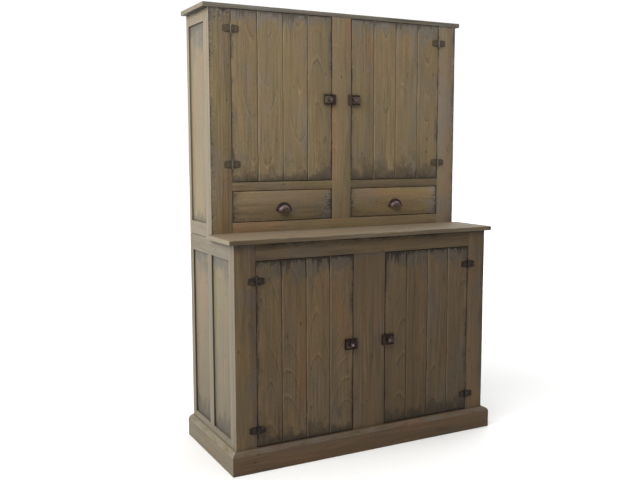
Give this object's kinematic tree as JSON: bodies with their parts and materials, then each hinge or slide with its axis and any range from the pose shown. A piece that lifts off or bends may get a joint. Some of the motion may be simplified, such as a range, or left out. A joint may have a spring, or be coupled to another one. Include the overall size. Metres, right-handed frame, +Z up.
{
  "type": "step back cupboard",
  "caption": "Tall pine step back cupboard: shallow upper case with boarded doors and drawers on a deeper lower case with boarded doors, a counter board and a moulded plinth.",
  "frame": {"origin": "middle of the footprint, on the floor", "axes": "+Z up, +Y from the front to the back, +X to the viewer's right when facing the doors"},
  "size_m": [1.376, 0.591, 2.023],
  "materials": {
    "side_wood": "pale waxed pine, dry matt",
    "upper_front_wood": "olive brown waxed pine, worn",
    "lower_front_wood": "darker brown waxed pine, worn",
    "plinth_wood": "brown waxed pine, scuffed",
    "top_wood": "worn waxed pine",
    "inner_wood": "unfinished pine",
    "hinge_iron": "antique brown, rubbed",
    "latch_iron": "antique dark brown, rubbed",
    "pull_iron": "antique purple brown, rubbed",
    "screw_iron": "dark, dull"
  },
  "bodies": {
    "carcase": {"base_back_boards": "inner_wood", "base_face_rails": "lower_front_wood", "base_face_stiles": "lower_front_wood", "base_floor": "inner_wood", "base_side_panels": "side_wood", "base_side_rails": "side_wood", "base_side_stiles": "side_wood", "base_sub_top": "inner_wood", "counter_top": "top_wood", "crown_board": "top_wood", "drawer_guides": "inner_wood", "frame_screws": "screw_iron", "hinge_frame_leaves": "hinge_iron", "hinge_pins": "hinge_iron", "latch_keepers": "latch_iron", "plinth_boards": "plinth_wood", "shelf_cleats": "inner_wood", "shelves": "inner_wood", "upper_back_boards": "inner_wood", "upper_deck": "inner_wood", "upper_drawer_floor": "inner_wood", "upper_face_rails": "upper_front_wood", "upper_face_stiles": "upper_front_wood", "upper_side_panels": "side_wood", "upper_side_rails": "side_wood", "upper_side_stiles": "side_wood"},
    "door_upper_left": {"door_upper_left_boards": "upper_front_wood", "door_upper_left_battens": "upper_front_wood", "door_upper_left_hinge_leaves": "hinge_iron", "door_upper_left_latch_case": "latch_iron", "door_upper_left_screws": "screw_iron"},
    "door_upper_left_knob_turn": {"door_upper_left_knob": "latch_iron"},
    "door_upper_left_bolt_slide": {"door_upper_left_bolt": "latch_iron"},
    "door_upper_right": {"door_upper_right_boards": "upper_front_wood", "door_upper_right_battens": "upper_front_wood", "door_upper_right_hinge_leaves": "hinge_iron", "door_upper_right_latch_case": "latch_iron", "door_upper_right_screws": "screw_iron"},
    "door_upper_right_knob_turn": {"door_upper_right_knob": "latch_iron"},
    "door_upper_right_bolt_slide": {"door_upper_right_bolt": "latch_iron"},
    "door_lower_left": {"door_lower_left_boards": "lower_front_wood", "door_lower_left_battens": "lower_front_wood", "door_lower_left_hinge_leaves": "hinge_iron", "door_lower_left_latch_case": "latch_iron", "door_lower_left_screws": "screw_iron"},
    "door_lower_left_knob_turn": {"door_lower_left_knob": "latch_iron"},
    "door_lower_left_bolt_slide": {"door_lower_left_bolt": "latch_iron"},
    "door_lower_right": {"door_lower_right_boards": "lower_front_wood", "door_lower_right_battens": "lower_front_wood", "door_lower_right_hinge_leaves": "hinge_iron", "door_lower_right_latch_case": "latch_iron", "door_lower_right_screws": "screw_iron"},
    "door_lower_right_knob_turn": {"door_lower_right_knob": "latch_iron"},
    "door_lower_right_bolt_slide": {"door_lower_right_bolt": "latch_iron"},
    "drawer_left": {"drawer_left_front": "upper_front_wood", "drawer_left_box": "inner_wood", "drawer_left_pull": "pull_iron"},
    "drawer_right": {"drawer_right_front": "upper_front_wood", "drawer_right_box": "inner_wood", "drawer_right_pull": "pull_iron"}
  },
  "joints": [
    {"name": "door_upper_left_swing", "type": "hinge", "parent": "carcase", "child": "door_upper_left", "pos_m": [-0.55875, -0.0091, 1.622], "axis": [0, 0, -1], "range_deg": [0, 150]},
    {"name": "door_upper_left_knob_turn", "type": "hinge", "parent": "door_upper_left", "child": "door_upper_left_knob_turn", "pos_m": [-0.067, -0.0155, 1.622], "axis": [0, 1, 0], "range_deg": [0, 60]},
    {"name": "door_upper_left_bolt_slide", "type": "slide", "parent": "door_upper_left", "child": "door_upper_left_bolt_slide", "axis": [1, 0, 0], "range_m": [0, 0.008]},
    {"name": "door_upper_right_swing", "type": "hinge", "parent": "carcase", "child": "door_upper_right", "pos_m": [0.55875, -0.0091, 1.622], "axis": [0, 0, 1], "range_deg": [0, 150]},
    {"name": "door_upper_right_knob_turn", "type": "hinge", "parent": "door_upper_right", "child": "door_upper_right_knob_turn", "pos_m": [0.067, -0.0155, 1.622], "axis": [0, 1, 0], "range_deg": [0, 60]},
    {"name": "door_upper_right_bolt_slide", "type": "slide", "parent": "door_upper_right", "child": "door_upper_right_bolt_slide", "axis": [-1, 0, 0], "range_m": [0, 0.008]},
    {"name": "door_lower_left_swing", "type": "hinge", "parent": "carcase", "child": "door_lower_left", "pos_m": [-0.56075, -0.2731, 0.508], "axis": [0, 0, -1], "range_deg": [0, 150]},
    {"name": "door_lower_left_knob_turn", "type": "hinge", "parent": "door_lower_left", "child": "door_lower_left_knob_turn", "pos_m": [-0.0995, -0.2795, 0.508], "axis": [0, 1, 0], "range_deg": [0, 60]},
    {"name": "door_lower_left_bolt_slide", "type": "slide", "parent": "door_lower_left", "child": "door_lower_left_bolt_slide", "axis": [1, 0, 0], "range_m": [0, 0.008]},
    {"name": "door_lower_right_swing", "type": "hinge", "parent": "carcase", "child": "door_lower_right", "pos_m": [0.56075, -0.2731, 0.508], "axis": [0, 0, 1], "range_deg": [0, 150]},
    {"name": "door_lower_right_knob_turn", "type": "hinge", "parent": "door_lower_right", "child": "door_lower_right_knob_turn", "pos_m": [0.0995, -0.2795, 0.508], "axis": [0, 1, 0], "range_deg": [0, 60]},
    {"name": "door_lower_right_bolt_slide", "type": "slide", "parent": "door_lower_right", "child": "door_lower_right_bolt_slide", "axis": [-1, 0, 0], "range_m": [0, 0.008]},
    {"name": "drawer_left_slide", "type": "slide", "parent": "carcase", "child": "drawer_left", "axis": [0, -1, 0], "range_m": [0, 0.19]},
    {"name": "drawer_right_slide", "type": "slide", "parent": "carcase", "child": "drawer_right", "axis": [0, -1, 0], "range_m": [0, 0.19]}
  ],
  "couplings": [
    {"joint": "door_upper_left_bolt_slide", "follows": "door_upper_left_knob_turn", "m_per_rad": 0.0075439},
    {"joint": "door_upper_right_bolt_slide", "follows": "door_upper_right_knob_turn", "m_per_rad": 0.0075439},
    {"joint": "door_lower_left_bolt_slide", "follows": "door_lower_left_knob_turn", "m_per_rad": 0.0075439},
    {"joint": "door_lower_right_bolt_slide", "follows": "door_lower_right_knob_turn", "m_per_rad": 0.0075439}
  ]
}
